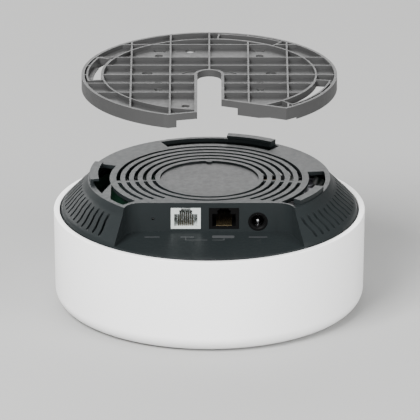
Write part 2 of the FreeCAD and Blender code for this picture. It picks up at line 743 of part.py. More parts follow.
def transformer_parts():
    """Power transformer: a ferrite core in two halves, a bobbin with pins and its winding."""
    x, y = 30.0, 10.0
    z = board_top_z
    bobbin = box(x - 6.0, x + 6.0, y - 8, y - 6.6, z, z + 8.6)
    bobbin = fuse([bobbin, box(x - 6.0, x + 6.0, y + 6.6, y + 8, z, z + 8.6),
                   box(x - 3.4, x + 3.4, y - 7, y + 7, z + 2.6, z + 6.6)])
    bobbin = bobbin.cut(box(x - 2.6, x + 2.6, y - 9, y + 9, z + 3.3, z + 5.9))
    winding = box(x - 5.6, x + 5.6, y - 6.5, y + 6.5, z + 1.2, z + 8.0)
    winding = winding.makeFillet(1.0, [edge for edge in winding.Edges if edge.Length > 12.9])
    winding = winding.cut(box(x - 3.45, x + 3.45, y - 7, y + 7, z + 2.55, z + 6.65))
    core = box(x - 9.0, x + 9.0, y - 10, y + 10, z + 0.6, z + 8.6)
    core = core.cut(box(x - 6.2, x + 6.2, y - 8.1, y + 8.1, z - 1, z + 9))
    centre_leg = box(x - 2.5, x + 2.5, y - 8.2, y + 8.2, z + 3.4, z + 5.8)
    return fuse([core, centre_leg]), bobbin, winding


def power_inductors():
    coils = []
    for x, y in ((30.0, -11.0), (43.0, -14.0)):
        block = chip(x, y, 10, 10, 5.0)
        dimple = rod(3.4, x, y, board_top_z + 4.7, board_top_z + 6)
        coils.append(block.cut(dimple))
    return Part.makeCompound(coils)


def bulk_capacitors():
    cans = []
    for y in (-4.0, 6.0, 16.0):
        foot = box(46, 54, y - 4, y + 4, board_top_z, board_top_z + 1.2)
        can = rod(3.9, 50, y, board_top_z + 1.0, board_top_z + 9.6)
        waist = ring(3.6, 4.5, board_top_z + 2.0, board_top_z + 2.6)
        can = can.makeFillet(0.5, [edge for edge in can.Edges
                                   if abs(edge.CenterOfMass.z - board_top_z - 9.6) < 0.01])
        waist.translate(Vec(50, y, 0))
        cans.append(fuse([foot, can.cut(waist)]))
    return Part.makeCompound(cans)


def status_led():
    x, y = guide_place()
    return box(x - 0.8, x + 0.8, y - 0.4, y + 0.4, board_bottom_z - 0.6, board_bottom_z)


def light_guide():
    x, y = guide_place()
    top = board_bottom_z - 0.9
    stem = rod(guide_radius, x, y, 0.8, top)
    collar = rod(guide_radius + 1.2, x, y, 9.0, 10.2)
    return fuse([stem, collar])


def screw(x, y, seat_z, length, direction):
    """Pan-head screw with a cross recess; direction is +1 when the shank points up."""
    head = Part.makeCylinder(screw_head_radius, screw_head_height, Vec(x, y, seat_z),
                             Vec(0, 0, -direction))
    crown = [edge for edge in head.Edges
             if abs(edge.CenterOfMass.z - seat_z + direction * screw_head_height) < 0.01]
    head = head.makeFillet(0.6, crown)
    shank = Part.makeCylinder(screw_radius, length, Vec(x, y, seat_z), Vec(0, 0, direction))
    outer_z = seat_z - direction * screw_head_height
    low, high = sorted((outer_z - direction * 0.5, outer_z + direction * 0.9))
    cross = [box(x - 1.3, x + 1.3, y - 0.25, y + 0.25, low, high),
             box(x - 0.25, x + 0.25, y - 1.3, y + 1.3, low, high)]
    return fuse([head, shank]).cut(Part.makeCompound(cross))


def board_screws():
    return Part.makeCompound([screw(x, y, board_bottom_z, 8.0, 1) for x, y in boss_places()])


def sink_screws():
    return Part.makeCompound([screw(x, y, board_top_z, 6.6, -1) for x, y in sink_leg_places()])


# ---------------------------------------------------------------- the whole node
def main():
    os.makedirs("parts", exist_ok=True)
    save("outer_shell", outer_shell())
    save("base_chassis", base_chassis())
    save("label_disc", label_disc())
    save("mount_plate", mount_plate())

    for name, x in (("lan_jack", lan_x), ("poe_jack", poe_x)):
        save(name + "_housing", jack_housing(x))
        save(name + "_contacts", jack_contacts(x))
    save("dc_jack_housing", dc_jack_housing())
    save("dc_jack_pin", dc_jack_pin())
    save("dc_jack_spring", dc_jack_spring())
    save("reset_switch_body", reset_switch_body())
    save("reset_plunger", reset_plunger())
    save("reset_dome", reset_dome())

    save("main_board", main_board())
    save("lan_magnetics", chip(lan_x, -7.0, 12.5, 15.5, 5.8))
    save("poe_magnetics", chip(poe_x, -7.0, 12.5, 15.5, 5.8))
    save("flash_chip", chip(-36.0, 2.0, 8.0, 6.0, 1.6))
    save("soc_chip", chip(-21.0, 10.0, 15.0, 15.0, chip_height, above=False))
    save("memory_chip", chip(-5.0, 10.0, 9.0, 13.0, chip_height, above=False))
    save("radio_chip_low_band", chip(18.0, 10.0, 10.0, 10.0, chip_height, above=False))
    save("radio_chip_high_band", chip(31.0, 10.0, 10.0, 10.0, chip_height, above=False))
    for name, area in (("soc", soc_shield), ("radio", radio_shield)):
        save(name + "_shield_frame", shield_frame(area))
        save(name + "_shield_cover", shield_cover(area))
        save(name + "_sink_pad", sink_pad(area))
    save("soc_chip_pad", chip_pad(-21.0, 10.0, 14.0))
    save("heat_sink", heat_sink())
    save("antenna_low_left", antenna(286, 15, 13.0))
    save("antenna_low_right", antenna(74, 15, 13.0))
    save("antenna_high_left", antenna(335, 9, 7.0))
    save("antenna_high_right", antenna(25, 9, 7.0))
    core, bobbin, winding = transformer_parts()
    save("transformer_core", core)
    save("transformer_bobbin", bobbin)
    save("transformer_winding", winding)
    save("power_inductors", power_inductors())
    save("bulk_capacitors", bulk_capacitors())
    save("status_led", status_led())
    save("light_guide", light_guide())
    save("board_screws", board_screws())
    save("heat_sink_screws", sink_screws())


if __name__ == "__main__":
    main()
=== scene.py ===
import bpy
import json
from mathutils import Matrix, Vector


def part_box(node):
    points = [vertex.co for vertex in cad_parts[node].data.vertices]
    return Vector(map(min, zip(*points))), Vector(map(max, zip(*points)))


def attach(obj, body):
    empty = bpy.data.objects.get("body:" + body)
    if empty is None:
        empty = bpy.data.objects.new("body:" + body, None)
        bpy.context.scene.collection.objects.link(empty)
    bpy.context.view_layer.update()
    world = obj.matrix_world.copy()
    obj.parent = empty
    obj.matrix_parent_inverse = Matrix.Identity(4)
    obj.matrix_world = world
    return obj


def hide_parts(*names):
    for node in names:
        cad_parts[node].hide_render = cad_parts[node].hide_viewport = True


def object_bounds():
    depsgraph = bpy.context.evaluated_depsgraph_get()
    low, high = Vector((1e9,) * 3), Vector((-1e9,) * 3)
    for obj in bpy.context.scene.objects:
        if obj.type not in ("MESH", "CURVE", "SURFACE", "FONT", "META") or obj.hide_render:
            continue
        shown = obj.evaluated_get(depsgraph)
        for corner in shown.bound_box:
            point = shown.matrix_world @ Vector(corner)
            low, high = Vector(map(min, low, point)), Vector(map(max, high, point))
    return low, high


bl_info = {
    "name": "Ceiling mesh wifi node",
    "version": (1, 0, 0),
    "blender": (4, 5, 0),
    "location": "View3D > Sidebar > Wifi node",
    "description": "Finishes the shell, vented base, ports and ceiling plate of a mesh wifi node",
    "category": "Object",
}

import json
import math

import bmesh
import bpy
from bpy.props import FloatProperty, FloatVectorProperty, IntProperty, PointerProperty
from mathutils import Vector

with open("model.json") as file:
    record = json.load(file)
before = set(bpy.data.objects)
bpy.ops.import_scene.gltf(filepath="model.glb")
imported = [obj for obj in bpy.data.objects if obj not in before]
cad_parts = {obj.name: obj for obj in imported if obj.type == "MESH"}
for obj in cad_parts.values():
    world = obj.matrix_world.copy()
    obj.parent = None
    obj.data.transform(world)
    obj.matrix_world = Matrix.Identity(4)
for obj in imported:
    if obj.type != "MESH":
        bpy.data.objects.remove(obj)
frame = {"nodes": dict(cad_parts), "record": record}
CAD_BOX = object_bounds()

UNIT = "node_unit"
PLATE = "mount_plate"
BUTTON = "reset_button"

SHELL_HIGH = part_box("outer_shell")[1]
PLATE_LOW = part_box("mount_plate")[0]
LAN_LOW, LAN_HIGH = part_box("lan_jack_housing")
POE_LOW, POE_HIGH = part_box("poe_jack_housing")
DC_LOW, DC_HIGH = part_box("dc_jack_housing")
BUTTON_LOW, BUTTON_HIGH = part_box("reset_plunger")

MM = 0.001
RIM_Z = SHELL_HIGH.z
BAY_WALL_Y = LAN_LOW.y
BAY_FLOOR_BACK_Z = RIM_Z + 1.0 * MM
BAY_FLOOR_DROP = 0.9 * MM
BAY_FLOOR_DEPTH = 39.5 * MM
BAY_FLOOR_FALL = BAY_FLOOR_DROP / BAY_FLOOR_DEPTH
WELD_DISTANCE = 0.002 * MM
RING_TOLERANCE = 0.005 * MM
FLAT_ANGLE = math.radians(0.8)


# ---------------------------------------------------------------- what a user would change
class NodeSizes(bpy.types.PropertyGroup):
    shell_radius: FloatProperty(
        name="Shell radius", description="Outer radius of the white drum at its rim",
        default=SHELL_HIGH.x, unit="LENGTH")
    rim_width: FloatProperty(
        name="Rim width", description="Width of the flat rim of the drum",
        default=2.94 * MM, unit="LENGTH")
    edge_radius: FloatProperty(
        name="Edge radius", description="Rounding between the closed face and the side of the drum",
        default=8.2 * MM, unit="LENGTH")
    draft: FloatProperty(
        name="Draft", description="How much narrower the drum is at its closed face",
        default=0.62 * MM, unit="LENGTH")
    round_steps: IntProperty(
        name="Steps round", description="Faces round the drum", default=240, min=48)
    moulded_edge: FloatProperty(
        name="Moulded edge", description="Rounding of the sharp edges of the moulded parts",
        default=0.14 * MM, unit="LENGTH")
    print_height: FloatProperty(
        name="Print height", description="Thickness of the printed marks",
        default=0.04 * MM, unit="LENGTH")


class NodeColours(bpy.types.PropertyGroup):
    shell: FloatVectorProperty(
        name="Shell", description="White of the drum", subtype="COLOR", size=3,
        default=(0.85, 0.85, 0.845))
    chassis: FloatVectorProperty(
        name="Base", description="Charcoal of the vented base", subtype="COLOR", size=3,
        default=(0.0105, 0.0130, 0.0136))
    plate: FloatVectorProperty(
        name="Ceiling plate", description="Grey of the ceiling plate", subtype="COLOR", size=3,
        default=(0.033, 0.033, 0.033))
    label: FloatVectorProperty(
        name="Label", description="Film in the middle of the base", subtype="COLOR", size=3,
        default=(0.0120, 0.0135, 0.0140))
    marks: FloatVectorProperty(
        name="Marks", description="Printed marks by the ports", subtype="COLOR", size=3,
        default=(0.036, 0.038, 0.040))
    floor: FloatVectorProperty(
        name="Floor", description="Pale floor under the node", subtype="COLOR", size=3,
        default=(0.34, 0.34, 0.336))


# ---------------------------------------------------------------- materials
def new_material(name):
    material = bpy.data.materials.new(name)
    material.use_nodes = True
    nodes = material.node_tree.nodes
    return material, nodes, material.node_tree.links, nodes["Principled BSDF"]


def object_noise(nodes, links, scale, detail=3.0, roughness=0.55, stretch=(1, 1, 1)):
    """Noise in the part's own coordinates; scale counts features per metre."""
    place = nodes.new("ShaderNodeTexCoord")
    mapping = nodes.new("ShaderNodeMapping")
    mapping.inputs["Scale"].default_value = stretch
    noise = nodes.new("ShaderNodeTexNoise")
    noise.inputs["Scale"].default_value = scale
    noise.inputs["Detail"].default_value = detail
    noise.inputs["Roughness"].default_value = roughness
    links.new(place.outputs["Object"], mapping.inputs["Vector"])
    links.new(mapping.outputs["Vector"], noise.inputs["Vector"])
    return noise


def spread(nodes, links, source, low, high):
    """Maps the middle of a 0 to 1 factor onto a range of roughness."""
    ranger = nodes.new("ShaderNodeMapRange")
    ranger.inputs["From Min"].default_value = 0.3
    ranger.inputs["From Max"].default_value = 0.7
    ranger.inputs["To Min"].default_value = low
    ranger.inputs["To Max"].default_value = high
    links.new(source, ranger.inputs["Value"])
    return ranger.outputs["Result"]


def tint(nodes, links, source, first, second):
    ramp = nodes.new("ShaderNodeValToRGB")
    ramp.color_ramp.elements[0].position = 0.3
    ramp.color_ramp.elements[0].color = (*first, 1)
    ramp.color_ramp.elements[1].position = 0.7
    ramp.color_ramp.elements[1].color = (*second, 1)
    links.new(source, ramp.inputs["Fac"])
    return ramp.outputs["Color"]


def bumps(nodes, links, source, strength, depth, normal=None):
    bump = nodes.new("ShaderNodeBump")
    bump.inputs["Strength"].default_value = strength
    bump.inputs["Distance"].default_value = depth
    links.new(source, bump.inputs["Height"])
    if normal is not None:
        links.new(normal, bump.inputs["Normal"])
    return bump.outputs["Normal"]


def shade(colour, factor):
    return tuple(max(0.0, min(1.0, part * factor)) for part in colour)


def moulded(name, colour, roughness, grain=5200.0, grain_depth=0.02 * MM, specular=0.5,
            variation=0.06, strength=0.35):
    """Moulded plastic: a fine spark-eroded grain, a slow drift of colour and uneven gloss."""
    material, nodes, links, surface = new_material(name)
    drift = object_noise(nodes, links, 38.0, detail=4.0)
    fine = object_noise(nodes, links, grain, detail=2.0, roughness=0.6)
    swirl = object_noise(nodes, links, 420.0, detail=3.0)
    links.new(tint(nodes, links, drift.outputs["Fac"], shade(colour, 1 - variation),
                   shade(colour, 1 + variation)), surface.inputs["Base Color"])
    links.new(spread(nodes, links, swirl.outputs["Fac"], roughness - 0.04, roughness + 0.05),
              surface.inputs["Roughness"])
    surface.inputs["Specular IOR Level"].default_value = specular
    links.new(bumps(nodes, links, fine.outputs["Fac"], strength, grain_depth),
              surface.inputs["Normal"])
    return material


def white_plastic():
    """Satin white of the drum: smooth, with a faint orange peel and a little depth."""
    colours = bpy.context.scene.node_colours
    material, nodes, links, surface = new_material("satin_white_shell")
    drift = object_noise(nodes, links, 22.0, detail=3.0)
    peel = object_noise(nodes, links, 900.0, detail=2.0, roughness=0.45)
    grain = object_noise(nodes, links, 6500.0, detail=1.0)
    links.new(tint(nodes, links, drift.outputs["Fac"], shade(colours.shell, 0.985),
                   shade(colours.shell, 1.01)), surface.inputs["Base Color"])
    links.new(spread(nodes, links, peel.outputs["Fac"], 0.33, 0.40), surface.inputs["Roughness"])
    surface.inputs["Subsurface Weight"].default_value = 0.06
    surface.inputs["Subsurface Scale"].default_value = 0.8 * MM
    surface.inputs["Subsurface Radius"].default_value = (1.0, 0.95, 0.9)
    soft = bumps(nodes, links, peel.outputs["Fac"], 0.10, 0.02 * MM)
    links.new(bumps(nodes, links, grain.outputs["Fac"], 0.12, 0.008 * MM, soft),
              surface.inputs["Normal"])
    return material


def metal(name, colour, roughness, brushed=(1, 1, 1), scale=2600.0, strength=0.25):
    material, nodes, links, surface = new_material(name)
    lines = object_noise(nodes, links, scale, detail=3.0, stretch=brushed)
    stain = object_noise(nodes, links, 120.0, detail=4.0)
    links.new(tint(nodes, links, stain.outputs["Fac"], shade(colour, 0.88), shade(colour, 1.05)),
              surface.inputs["Base Color"])
    surface.inputs["Metallic"].default_value = 1.0
    links.new(spread(nodes, links, lines.outputs["Fac"], roughness - 0.07, roughness + 0.10),
              surface.inputs["Roughness"])
    links.new(bumps(nodes, links, lines.outputs["Fac"], strength, 0.01 * MM),
              surface.inputs["Normal"])
    return material


def solder_mask():
    """Green board: tracks show through the mask as a slightly lighter, raised maze."""
    material, nodes, links, surface = new_material("board_solder_mask")
    place = nodes.new("ShaderNodeTexCoord")
    tracks = nodes.new("ShaderNodeTexVoronoi")
    tracks.distance = "MANHATTAN"
    tracks.feature = "DISTANCE_TO_EDGE"
    tracks.inputs["Scale"].default_value = 260.0
    links.new(place.outputs["Object"], tracks.inputs["Vector"])
    links.new(tint(nodes, links, tracks.outputs["Distance"], (0.007, 0.026, 0.015),
                   (0.003, 0.013, 0.008)), surface.inputs["Base Color"])
    surface.inputs["Roughness"].default_value = 0.32
    links.new(bumps(nodes, links, tracks.outputs["Distance"], 0.3, 0.03 * MM),
              surface.inputs["Normal"])
    return material


def clear_plastic():
    material, nodes, links, surface = new_material("clear_light_guide")
    waves = object_noise(nodes, links, 300.0)
    surface.inputs["Base Color"].default_value = (0.93, 0.95, 0.96, 1)
    surface.inputs["Transmission Weight"].default_value = 0.9
    links.new(spread(nodes, links, waves.outputs["Fac"], 0.06, 0.14), surface.inputs["Roughness"])
    links.new(bumps(nodes, links, waves.outputs["Fac"], 0.08, 0.02 * MM), surface.inputs["Normal"])
    return material


# ---------------------------------------------------------------- modelling helpers
def deselect():
    if bpy.context.object is not None and bpy.context.object.mode != "OBJECT":
        bpy.ops.object.mode_set(mode="OBJECT")
    bpy.ops.object.select_all(action="DESELECT")


def pick(piece):
    deselect()
    piece.select_set(True)
    bpy.context.view_layer.objects.active = piece


def name_piece(name):
    piece = bpy.context.object
    piece.name = name
    piece.data.name = name
    return piece


def settle(piece):
    """Puts a piece's place into its mesh."""
    pick(piece)
    bpy.ops.object.transform_apply(location=True, rotation=True, scale=True)
    return piece


def paint(piece, material):
    piece.data.materials.clear()
    piece.data.materials.append(material)


def smooth(piece, degrees=32.0, weighted=False):
    """Smooth shading with sharp creases kept; weighted lets the large flat faces rule the shading."""
    pick(piece)
    bpy.ops.object.shade_smooth_by_angle(angle=math.radians(degrees))
    if weighted:
        even = piece.modifiers.new("even", "WEIGHTED_NORMAL")
        even.mode = "FACE_AREA"
        even.weight = 90
        even.keep_sharp = True
        bpy.ops.object.modifier_apply(modifier=even.name)


def round_edges(piece, width, segments=2, degrees=35.0):
    """Bevels every edge sharper than the given angle and applies it."""
    pick(piece)
    bevel = piece.modifiers.new("edge", "BEVEL")
    bevel.width = width
    bevel.segments = segments
    bevel.limit_method = "ANGLE"
    bevel.angle_limit = math.radians(degrees)
    bevel.use_clamp_overlap = True
    bevel.harden_normals = False
    bpy.ops.object.modifier_apply(modifier=bevel.name)


def turned(name, outline, steps):
    """A ring of points is drawn at the first radius and height, then extruded and resized along the
    outline of (radius, z). Both ends are left open."""
    deselect()
    radius, height = outline[0]
    bpy.ops.mesh.primitive_circle_add(vertices=steps, radius=radius, location=(0, 0, height))
    piece = name_piece(name)
    settle(piece)
    bpy.ops.object.mode_set(mode="EDIT")
    bpy.ops.mesh.select_all(action="SELECT")
    for next_radius, next_height in outline[1:]:
        bpy.ops.mesh.extrude_edges_move(
            TRANSFORM_OT_translate={"value": (0, 0, next_height - height)})
        ratio = next_radius / radius
        bpy.ops.transform.resize(value=(ratio, ratio, 1), center_override=(0, 0, next_height))
        radius, height = next_radius, next_height
    bpy.ops.object.mode_set(mode="OBJECT")
    return piece


def refined_copy(node, name, edge, segments=2):
    """A welded, rounded and smooth-shaded copy of a CAD node's mesh, which then stands for the node."""
    source = frame["nodes"][node]
    piece = source.copy()
    piece.data = source.data.copy()
    for key in list(piece.keys()):
        del piece[key]
    piece.parent = None
    piece.name = name
    piece.data.name = name
    bpy.context.scene.collection.objects.link(piece)
    pick(piece)
    bpy.ops.object.mode_set(mode="EDIT")
    bpy.ops.mesh.select_all(action="SELECT")
    bpy.ops.mesh.remove_doubles(threshold=WELD_DISTANCE)
    bpy.ops.mesh.dissolve_limited(angle_limit=FLAT_ANGLE, delimit=set())
    bpy.ops.object.mode_set(mode="OBJECT")
    if piece.data.has_custom_normals:
        bpy.ops.mesh.customdata_custom_splitnormals_clear()
    if edge > 0:
        round_edges(piece, edge, segments)
    smooth(piece, weighted=True)
    return piece


def finish_piece(piece, body, material, nodes=()):
    paint(piece, material)
    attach(piece, body)
    if nodes:
        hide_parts(*nodes)
    return piece


def arc_points(centre_r, centre_z, radius, start, end, steps):
    """Points on an arc in the (radius, z) plane, by angle in degrees."""
    points = []
    for i in range(steps + 1):
        angle = math.radians(start + (end - start) * i / steps)
        points.append((centre_r + radius * math.cos(angle), centre_z + radius * math.sin(angle)))
    return points


def select_ring(piece, radius, height):
    """Selects the edges that lie on one ring of a turned piece."""
    pick(piece)
    bpy.ops.object.mode_set(mode="EDIT")
    bpy.ops.mesh.select_mode(type="EDGE")
    bpy.ops.mesh.select_all(action="DESELECT")
    mesh = bmesh.from_edit_mesh(piece.data)
    for edge in mesh.edges:
        on_ring = all(abs(v.co.z - height) < RING_TOLERANCE
                      and abs(v.co.xy.length - radius) < RING_TOLERANCE for v in edge.verts)
        edge.select_set(on_ring)
    bmesh.update_edit_mesh(piece.data)


def close_ends(piece, first, last):
    """Caps the first and last ring of a turned piece and turns its faces outwards."""
    for radius, height in (first, last):
        select_ring(piece, radius, height)
        bpy.ops.mesh.edge_face_add()
        bpy.ops.object.mode_set(mode="OBJECT")
    weld(piece)


def weld(piece):
    pick(piece)
    bpy.ops.object.mode_set(mode="EDIT")
    bpy.ops.mesh.select_all(action="SELECT")
    bpy.ops.mesh.remove_doubles(threshold=WELD_DISTANCE)
    bpy.ops.mesh.normals_make_consistent(inside=False)
    bpy.ops.object.mode_set(mode="OBJECT")


def raised_arc(name, centre, radius, width, height, start, end):
    """A low raised arc with an arrow head at its end; angles are clockwise from +Y in degrees."""
    steps, head_spread, head_length, tip = 14, 3.2, 1.6, 0.05
    deselect()
    turn = math.radians(start)
    spot = centre + Vector((radius * math.sin(turn), radius * math.cos(turn), 0))
    bpy.ops.mesh.primitive_plane_add(size=width, location=spot, rotation=(0, 0, -turn))
    piece = settle(name_piece(name))
    bpy.ops.object.mode_set(mode="EDIT")
    bpy.ops.mesh.select_all(action="DESELECT")
    bpy.ops.mesh.select_mode(type="EDGE")
    mesh = bmesh.from_edit_mesh(piece.data)
    away = Vector((math.cos(turn), -math.sin(turn), 0)) * (1 if end > start else -1)
    leading = max(mesh.edges, key=lambda e: ((e.verts[0].co + e.verts[1].co) / 2).dot(away))
    leading.select_set(True)
    bmesh.update_edit_mesh(piece.data)
    sweep = math.radians(end - start) / steps
    for _ in range(steps):
        bpy.ops.mesh.extrude_edges_move()
        bpy.ops.transform.rotate(value=sweep, orient_axis="Z", center_override=centre)
    bpy.ops.mesh.extrude_edges_move()
    bpy.ops.transform.resize(value=(head_spread, head_spread, 1))
    bpy.ops.mesh.extrude_edges_move()
    bpy.ops.transform.rotate(value=sweep * head_length, orient_axis="Z", center_override=centre)
    bpy.ops.transform.resize(value=(tip, tip, 1))
    bpy.ops.object.mode_set(mode="OBJECT")
    solid = piece.modifiers.new("height", "SOLIDIFY")
    solid.thickness = height
    solid.offset = 1.0
    bpy.ops.object.modifier_apply(modifier=solid.name)
    weld(piece)
    round_edges(piece, height * 0.25, 1)
    smooth(piece)
    return piece


def printed_bar(name, x, y, width, length, height):
    """A flat printed bar with rounded corners, laid on the gently falling floor of the port bay."""
    corner = min(width, length) * 0.3
    deselect()
    bpy.ops.mesh.primitive_cube_add(size=1, location=(0, 0, 0), scale=(width, length, height))
    bar = settle(name_piece(name))
    bpy.ops.object.mode_set(mode="EDIT")
    bpy.ops.mesh.select_all(action="DESELECT")
    bpy.ops.mesh.select_mode(type="EDGE")
    mesh = bmesh.from_edit_mesh(bar.data)
    for edge in mesh.edges:
        first, second = (v.co for v in edge.verts)
        edge.select_set(abs(first.z - second.z) > height / 2)
    bmesh.update_edit_mesh(bar.data)
    bpy.ops.mesh.bevel(offset=corner, segments=4)
    bpy.ops.object.mode_set(mode="OBJECT")
    bar.location = (x, y, BAY_FLOOR_BACK_Z + BAY_FLOOR_FALL * (y - BAY_WALL_Y) + height / 2)
    bar.rotation_euler = (math.atan(BAY_FLOOR_FALL), 0, 0)
    settle(bar)
    smooth(bar)
    return bar


def charcoal_plastic():
    """Charcoal of the base: satin with a fine grain."""
    return moulded("satin_charcoal", bpy.context.scene.node_colours.chassis, 0.43, grain=4200.0,
                   grain_depth=0.014 * MM, specular=0.10, variation=0.05)


# ---------------------------------------------------------------- pieces
class WIFI_OT_shell(bpy.types.Operator):
    """White drum: a turned wall with a rounded closed face, a flat rim and a seat for the base"""
    bl_idname = "wifi.shell"
    bl_label = "Outer shell"

    def execute(self, context):
        sizes = context.scene.node_sizes
        radius, rim_z = sizes.shell_radius, RIM_Z
        lip = 0.35 * MM
        foot = radius - sizes.draft - sizes.edge_radius
        inner = radius - sizes.rim_width
        wall = 2.4 * MM
        seat_radius = inner - 2.1 * MM
        seat_top, seat_bottom, seat_foot = rim_z - 5.6 * MM, rim_z - 7.2 * MM, rim_z - 9.4 * MM
        outline = [(foot, 0.0)]
        outline += arc_points(foot, sizes.edge_radius, sizes.edge_radius, -90, -1, 18)
        outline += arc_points(radius - lip, rim_z - lip, lip, 0, 90, 4)
        outline += arc_points(inner + lip, rim_z - lip, lip, 90, 180, 4)
        outline += [(inner, seat_top), (seat_radius, seat_top), (seat_radius, seat_bottom),
                    (inner, seat_foot)]
        outline += arc_points(foot, sizes.edge_radius, sizes.edge_radius - wall, 0, -90, 10)
        drum = turned("outer_drum", outline, sizes.round_steps)
        close_ends(drum, outline[0], outline[-1])
        smooth(drum, 30)
        finish_piece(drum, UNIT, white_plastic(), ["outer_shell"])

        guide_low, guide_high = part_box("light_guide")
        centre = (guide_low + guide_high) / 2
        bore, outside = 2.0 * MM, 3.3 * MM
        top, chamfer = 9 * MM, 0.4 * MM
        ring = [(bore, wall), (outside, wall), (outside, top - chamfer), (outside - chamfer, top),
                (bore, top), (bore, wall)]
        socket = turned("guide_socket", ring, 48)
        weld(socket)
        socket.location = (centre.x, centre.y, 0)
        settle(socket)
        smooth(socket, 30)
        finish_piece(socket, UNIT, drum.data.materials[0])
        return {"FINISHED"}


class WIFI_OT_chassis(bpy.types.Operator):
    """Vented charcoal base with its bayonet hooks, and the label film in its middle"""
    bl_idname = "wifi.chassis"
    bl_label = "Vented base"

    def execute(self, context):
        sizes, colours = context.scene.node_sizes, context.scene.node_colours
        base = refined_copy("base_chassis", "vented_base", sizes.moulded_edge)
        finish_piece(base, UNIT, charcoal_plastic(), ["base_chassis"])
        film = refined_copy("label_disc", "label_film", 0.05 * MM)
        finish_piece(film, UNIT,
                     moulded("label_film", colours.label, 0.42, grain=2400.0,
                             grain_depth=0.006 * MM, specular=0.10, variation=0.05),
                     ["label_disc"])
        return {"FINISHED"}


class WIFI_OT_plate(bpy.types.Operator):
    """Ribbed ceiling plate with two turning arrows raised on its sheet"""
    bl_idname = "wifi.plate"
    bl_label = "Ceiling plate"

    def execute(self, context):
        sizes, colours = context.scene.node_sizes, context.scene.node_colours
        grey = moulded("grey_plate", colours.plate, 0.52, grain=4200.0, grain_depth=0.025 * MM,
                       specular=0.30, variation=0.07)
        plate = refined_copy("mount_plate", "ceiling_plate", sizes.moulded_edge)
        finish_piece(plate, PLATE, grey, ["mount_plate"])

        sheet_z = PLATE_LOW.z + 5.0 * MM
        centre = Vector((0, -7.2 * MM, sheet_z))
        radius, width, height = 19.4 * MM, 0.6 * MM, 0.3 * MM
        start, end = 3, 48
        for side, name in ((-1, "turn_arrow_left"), (1, "turn_arrow_right")):
            arrow = raised_arc(name, centre, radius, width, height, side * start, side * end)
            finish_piece(arrow, PLATE, grey)
        return {"FINISHED"}


class WIFI_OT_jacks(bpy.types.Operator):
    """Network jacks and their gold spring contacts"""
    bl_idname = "wifi.jacks"
    bl_label = "Network jacks"

    def execute(self, context):
        white = moulded("jack_white", (0.40, 0.43, 0.42), 0.42, grain=3000.0,
                        grain_depth=0.008 * MM, variation=0.02)
        black = moulded("black_moulding", (0.0025, 0.0025, 0.0026), 0.5, grain=3600.0,
                        grain_depth=0.012 * MM, specular=0.04)
        # The gold is darkened far below real gold. This is painted shade for contacts that sit in
        # shadow deep inside the jacks.
        gold = metal("gold_contacts_shade_darkened", (0.20, 0.155, 0.085), 0.42, brushed=(1, 0.1, 0.1))
        for port, material, slot in (("lan", white, "jack_white"), ("poe", black, "jack_black")):
            housing = refined_copy(port + "_jack_housing", port + "_jack", 0.10 * MM)
            finish_piece(housing, UNIT, material, [port + "_jack_housing"])
            wires = refined_copy(port + "_jack_contacts", port + "_contacts", 0.04 * MM, 1)
            finish_piece(wires, UNIT, gold, [port + "_jack_contacts"])
        return {"FINISHED"}


class WIFI_OT_power(bpy.types.Operator):
    """Power socket with its pin and spring, and the reset switch behind its pinhole"""
    bl_idname = "wifi.power"
    bl_label = "Power socket and reset switch"

    def execute(self, context):
        black = bpy.data.materials["black_moulding"]
        steel = metal("bright_steel", (0.72, 0.72, 0.73), 0.22, brushed=(1, 0.08, 1))
        switch = moulded("switch_grey", (0.10, 0.10, 0.105), 0.42)
        parts = [("dc_jack_housing", "power_socket", UNIT, "jack_black", black, 0.10),
                 ("dc_jack_pin", "power_pin", UNIT, "steel_bright", steel, 0.05),
                 ("dc_jack_spring", "power_spring", UNIT, "steel_bright", steel, 0.03),
                 ("reset_switch_body", "reset_switch", UNIT, "switch_grey", switch, 0.10),
                 ("reset_plunger", "reset_button", BUTTON, "switch_grey", switch, 0.0),
                 ("reset_dome", "reset_snap_disc", UNIT, "steel_bright", steel, 0.03)]
        for node, name, body, slot, material, edge in parts:
            finish_piece(refined_copy(node, name, edge * MM), body, material, [node])
        return {"FINISHED"}


class WIFI_OT_marks(bpy.types.Operator):
    """Printed marks on the floor of the port bay: plain bars, a badge and a bracket"""
    bl_idname = "wifi.marks"
    bl_label = "Port marks"

    def execute(self, context):
        sizes, colours = context.scene.node_sizes, context.scene.node_colours
        ink = moulded("mark_ink", colours.marks, 0.45, grain=7000.0, grain_depth=0.004 * MM)
        faint = moulded("mark_ink_faint", shade(colours.marks, 0.9), 0.5, grain=7000.0,
                        grain_depth=0.004 * MM)
        lan_x = (LAN_LOW.x + LAN_HIGH.x) / 2
        poe_x = (POE_LOW.x + POE_HIGH.x) / 2
        dc_x = (DC_LOW.x + DC_HIGH.x) / 2
        reset_x = (BUTTON_LOW.x + BUTTON_HIGH.x) / 2
        row_y = BAY_WALL_Y - 7.7 * MM
        link_y = BAY_WALL_Y - 11.8 * MM
        thin = 0.55 * MM
        # name, middle x and y, size along x and y, ink
        bars = [("mark_reset", reset_x - 0.4 * MM, row_y, 7.8 * MM, 0.9 * MM, faint),
                ("mark_lan", lan_x + 0.8 * MM, row_y, 7.0 * MM, 1.2 * MM, faint),
                ("mark_poe_badge", poe_x - 0.4 * MM, row_y + 0.4 * MM, 11.4 * MM, 3.4 * MM, ink),
                ("mark_power", dc_x, row_y, 9.4 * MM, 1.1 * MM, faint),
                ("mark_link_left", lan_x + 5.5 * MM, link_y, 11.0 * MM, thin, faint),
                ("mark_link_right", poe_x - 3.0 * MM, link_y, 6.0 * MM, thin, faint),
                ("mark_tick_left", lan_x, link_y + 1.4 * MM, thin, 3.3 * MM, faint),
                ("mark_tick_right", poe_x, link_y + 1.1 * MM, thin, 2.6 * MM, faint)]
        for name, x, y, width, length, material in bars:
            bar = printed_bar(name, x, y, width, length, sizes.print_height)
            finish_piece(bar, UNIT, material)
        return {"FINISHED"}


